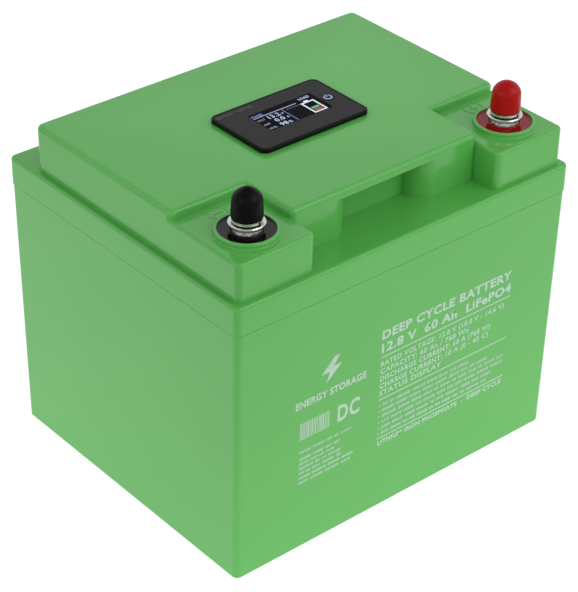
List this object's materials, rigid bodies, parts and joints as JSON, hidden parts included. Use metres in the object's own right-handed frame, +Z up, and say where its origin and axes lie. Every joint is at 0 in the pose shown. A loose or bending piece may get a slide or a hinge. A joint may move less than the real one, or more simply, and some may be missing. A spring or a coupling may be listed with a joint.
{
  "type": "deep cycle battery",
  "caption": "Box-shaped deep cycle battery with a raised lid, finger grips, two capped stud terminals on corner blocks and a flush status display with a button.",
  "frame": {"origin": "middle of the base, on the surface that the battery stands on", "axes": "+X along the long side, -Y towards the side with the terminals, +Z up"},
  "size_m": [0.197, 0.166, 0.1871],
  "materials": {
    "case_plastic": "moulded ABS, semi-gloss mid green",
    "black_plastic": "moulded black plastic, satin",
    "black_face": "dark grey printed face film",
    "screen_glass": "dark screen glass",
    "black_resin": "poured black resin, glossy",
    "red_resin": "poured red resin, glossy",
    "black_rubber": "soft black rubber, satin",
    "red_rubber": "soft red rubber, satin",
    "plated": "nickel plated, bright",
    "steel": "zinc plated steel",
    "aluminium": "rolled aluminium",
    "cell_film": "aluminium can under a blue film sleeve",
    "foam": "closed cell foam, matt black",
    "fibre_board": "pale epoxy glass sheet",
    "circuit_board": "green solder mask, satin",
    "sealant": "dark cured sealant"
  },
  "bodies": {
    "root": {"back_pad": "foam", "balance_harness": "black_rubber", "balance_socket": "black_plastic", "board_tray": "black_plastic", "bottom_pad": "foam", "case_tub": "case_plastic", "cell_1": "cell_film", "cell_2": "cell_film", "cell_3": "cell_film", "cell_4": "cell_film", "cell_separator_1": "fibre_board", "cell_separator_2": "fibre_board", "cell_separator_3": "fibre_board", "display_board": "circuit_board", "display_cable": "black_rubber", "display_housing": "black_plastic", "display_window": "black_face", "front_pad": "foam", "heat_sink": "aluminium", "insulation_sheet": "fibre_board", "lcd_panel": "screen_glass", "left_end_plate": "aluminium", "left_pad": "foam", "lid_cover": "case_plastic", "lid_seal": "sealant", "lower_band": "steel", "management_board": "circuit_board", "negative_cell_cable": "black_rubber", "negative_flat_washer": "plated", "negative_post": "plated", "negative_post_cable": "black_rubber", "negative_post_lug": "plated", "negative_post_nut": "steel", "negative_post_seal": "black_resin", "negative_spring_washer": "plated", "negative_tap": "aluminium", "negative_tap_lug": "plated", "negative_tap_screw": "steel", "positive_cable": "red_rubber", "positive_flat_washer": "plated", "positive_post": "plated", "positive_post_lug": "plated", "positive_post_nut": "steel", "positive_post_seal": "red_resin", "positive_spring_washer": "plated", "positive_tap": "aluminium", "positive_tap_lug": "plated", "positive_tap_screw": "steel", "right_end_plate": "aluminium", "right_pad": "foam", "series_link_1": "aluminium", "series_link_2": "aluminium", "series_link_3": "aluminium", "temperature_probe": "black_rubber", "upper_band": "steel"},
    "negative_cap": {"negative_cap": "black_rubber"},
    "positive_cap": {"positive_cap": "red_rubber"},
    "power_button": {"power_button": "black_face"}
  },
  "joints": [
    {"name": "negative_cap_pull", "type": "slide", "parent": "root", "child": "negative_cap", "axis": [0, 0, 1], "range_m": [0, 0.03]},
    {"name": "positive_cap_pull", "type": "slide", "parent": "root", "child": "positive_cap", "axis": [0, 0, 1], "range_m": [0, 0.03]},
    {"name": "power_button_press", "type": "slide", "parent": "root", "child": "power_button", "axis": [0, 0, -1], "range_m": [0, 0.0005], "stiffness_N_per_m": 800}
  ]
}
